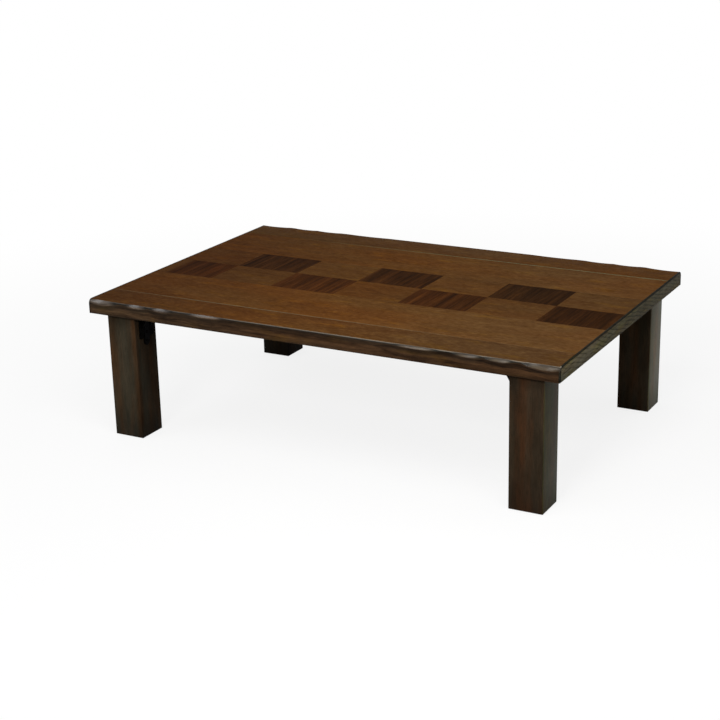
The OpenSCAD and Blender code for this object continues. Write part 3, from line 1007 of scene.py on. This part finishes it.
def makeSquares(node, material):
    bm = bmesh.new()
    addNodeMesh(bm, node, squareShape["merge"], squareShape["flat"])
    bevelEdges(bm, edgesWhere(bm, lambda co: co.z > topHeight - hair), squareShape["edge"], 1)
    newPiece("inlaid_" + node, bm, "table_top", [material], node)


# Legs and glides

legShape = {"edge": 1.6 * mm, "edgeFaces": 4, "end": 0.8 * mm, "endFaces": 2, "smooth": 40}
glideShape = {"sides": 48, "edge": 0.7 * mm, "faces": 3, "smooth": 40}


def makeLeg(corner, material):
    node = "leg_" + corner
    bm = bmesh.new()
    addBox(bm, *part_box(node))
    upright = [edge for edge in bm.edges if extent(edge, 2) > hair]
    bevelEdges(bm, upright, legShape["edge"], legShape["edgeFaces"])
    level = [edge for edge in bm.edges if extent(edge, 2) < hair]
    bevelEdges(bm, level, legShape["end"], legShape["endFaces"])
    shadeByAngle(bm, legShape["smooth"])
    newPiece("post_" + corner, bm, "folding_leg_" + corner, [material], node)


def makeGlide(corner, material):
    node = "glide_" + corner
    low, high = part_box(node)
    radius = (high.x - low.x) / 2
    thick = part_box("leg_" + corner)[0].z - low.z
    bm = bmesh.new()
    made = bmesh.ops.create_cone(bm, cap_ends=True, segments=glideShape["sides"],
                                 radius1=radius, radius2=radius, depth=thick)["verts"]
    middle = ((low.x + high.x) / 2, (low.y + high.y) / 2, low.z + thick / 2)
    bmesh.ops.translate(bm, vec=middle, verts=made)
    rim = edgesWhere(bm, lambda co: co.z < low.z + hair)
    bevelEdges(bm, rim, glideShape["edge"], glideShape["faces"])
    shadeByAngle(bm, glideShape["smooth"])
    newPiece("pad_" + corner, bm, "folding_leg_" + corner, [material], node)


# Hinge parts: the frame's own shapes with the edges of the sheet broken

hingeShape = {"edge": 0.3 * mm, "merge": 0.0025 * mm, "flat": 0.5, "smooth": 30, "sharp": 40}


def makeHingePart(node, name, body, material):
    bm = bmesh.new()
    addNodeMesh(bm, node, hingeShape["merge"], hingeShape["flat"])
    shadeByAngle(bm, hingeShape["smooth"])
    piece = newPiece(name, bm, body, [material], node)
    softEdges(piece, hingeShape["edge"], hingeShape["sharp"])


# Light, floor and backdrop

lamps = {
    "overhead right": {
        "place": (0.74, -0.95, 1.55),
        "target": (0.30, -0.12, 0.34),
        "size": (1.0, 0.8),
        "radiance": 5.5,
        "colour": (1.0, 0.985, 0.96),
    },
    "overhead left": {
        "place": (-1.45, 0.45, 3.0),
        "target": (0.0, 0.0, 0.34),
        "size": (1.6, 1.1),
        "radiance": 1.6,
        "colour": (0.97, 0.99, 1.0),
    },
    "front left": {
        "place": (-2.7, -3.25, 4.15),
        "target": (0.0, -0.3, 0.34),
        "size": (2.6, 1.1),
        "radiance": 4.2,
        "colour": (0.94, 0.97, 1.0),
    },
    "front": {
        "place": (0.5, -3.95, 2.35),
        "target": (0.0, -0.3, 0.2),
        "size": (1.2, 0.8),
        "radiance": 23.0,
        "colour": (1.0, 1.0, 1.0),
    },
    "right": {
        "place": (3.6, 2.4, 2.2),
        "target": (0.3, 0.0, 0.2),
        "size": (2.0, 1.6),
        "radiance": 0.8,
        "colour": (1.0, 1.0, 1.0),
    },
}
studio = {
    "softLight": 0.28,                    # strength of the light from all round
    "floorSize": 60,
    "floorShade": (0.30, 0.30, 0.30),     # what the floor gives back to the table
    "whiteReach": 4.0,                    # metres from the middle that whiteEdge covers
    "whiteEdge": [(0.15, 0.84), (0.6, 1.0)],
}


def addLamp(name, look):
    data = bpy.data.lights.new(name, "AREA")
    data.shape = "RECTANGLE"
    data.size, data.size_y = look["size"]
    data.energy = look["radiance"] * math.pi * data.size * data.size_y
    data.color = look["colour"]
    lamp = bpy.data.objects.new(name, data)
    bpy.context.scene.collection.objects.link(lamp)
    lamp.location = look["place"]
    aim = Vector(look["target"]) - Vector(look["place"])
    lamp.rotation_euler = aim.to_track_quat("-Z", "Y").to_euler()


def makeWorld():
    world = bpy.data.worlds.new("studio")
    bpy.context.scene.world = world
    world.use_nodes = True
    bench = Bench(world.node_tree, "ShaderNodeOutputWorld")
    soft = bench.add("ShaderNodeBackground", None, {"Color": (1, 1, 1, 1), "Strength": studio["softLight"]})
    white = bench.add("ShaderNodeBackground", None, {"Color": (1, 1, 1, 1), "Strength": 1.0})
    bench.finish(bench.add("ShaderNodeMixShader", None, {0: bench.rays(), 1: soft, 2: white}))


def makeFloor():
    # the camera sees a white floor that keeps the table's soft shadow and fades to plain white far away
    material, bench = newMaterial("floor")
    here = bench.add("ShaderNodeTexCoord", out="Object")
    white = bench.ramp(here.span() / studio["whiteReach"], studio["whiteEdge"], "EASE")
    rays = bench.rays()
    shade = bench.mix(rays, studio["floorShade"], (1.0, 1.0, 1.0))
    pale = bench.add("ShaderNodeBsdfDiffuse", None, {"Color": shade})
    glow = bench.add("ShaderNodeEmission", None, {"Color": (1, 1, 1, 1), "Strength": 1.0})
    bench.finish(bench.add("ShaderNodeMixShader", None, {0: rays * white, 1: pale, 2: glow}))
    bm = bmesh.new()
    bmesh.ops.create_grid(bm, x_segments=1, y_segments=1, size=studio["floorSize"] / 2)
    mesh = bpy.data.meshes.new("floor")
    bm.to_mesh(mesh)
    bm.free()
    floor = bpy.data.objects.new("floor", mesh)
    bpy.context.scene.collection.objects.link(floor)
    mesh.materials.append(material)


# Build

makeCamera(cameraPlace)
print("camera placed")

woods = {
    "panel": woodMaterial("top veneer", panelLook),
    "front board": woodMaterial("side board wood", boardLook),
    "back board": woodMaterial("back board wood", backBoardLook),
    "carved": woodMaterial("polished carving", carvedLook),
    "edge": woodMaterial("side board edge", edgeLook),
    "light": woodMaterial("light squares", lightLook),
    "dark back": woodMaterial("dark squares back", darkLook),
    "dark front": woodMaterial("dark squares front", frontDarkLook),
    "end": woodMaterial("end lipping", endLook),
    "leg": woodMaterial("leg wood", legLook),
    "under": woodMaterial("underside panel", underLook),
    "core": woodMaterial("core softwood", coreLook),
}
blackPaint = plainMaterial("black paint", blackLook)
bluedSteel = plainMaterial("blued spring steel", springLook)
brownPlastic = plainMaterial("glide plastic", glideLook)
print("materials made")

# The nodes that keep the frame's own mesh, by the start of their names
nodeFinishes = {
    "top_panel": woods["panel"],
    "bottom_panel": woods["under"],
    "core_rail": woods["core"],
    "end_rail": woods["core"],
    "cross_rails": woods["core"],
    "spline": woods["core"],
    "leg_screws": blackPaint,
    "base_screws": blackPaint,
    "hinge_pin": blackPaint,
    "leaf_spring": bluedSteel,
}
for node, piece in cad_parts.items():
    for start, material in nodeFinishes.items():
        if node.startswith(start):
            piece.data.materials.clear()
            piece.data.materials.append(material)
print("frame nodes finished")

for row, side in (("front", -1), ("back", 1)):
    makeSideBoard(row, side, woods[row + " board"], woods["carved"], woods["edge"])
for end in ("left", "right"):
    makeLipping(end, woods["end"], woods["carved"])
print("side boards and lippings carved")

for row in ("back", "front"):
    makeSquares("dark_squares_" + row, woods["dark " + row])
    makeSquares("light_squares_" + row, woods["light"])
print("squares inlaid")

for corner in corners:
    makeLeg(corner, woods["leg"])
    makeGlide(corner, brownPlastic)
    makeHingePart("leg_plate_" + corner, "hinge_plate_" + corner, "folding_leg_" + corner, blackPaint)
    makeHingePart("hinge_base_" + corner, "hinge_seat_" + corner, "table_top", blackPaint)
print("legs and hinges made")

for name, look in lamps.items():
    addLamp(name, look)
makeWorld()
makeFloor()
bpy.context.scene.view_settings.view_transform = "Standard"
print("lights and floor set")
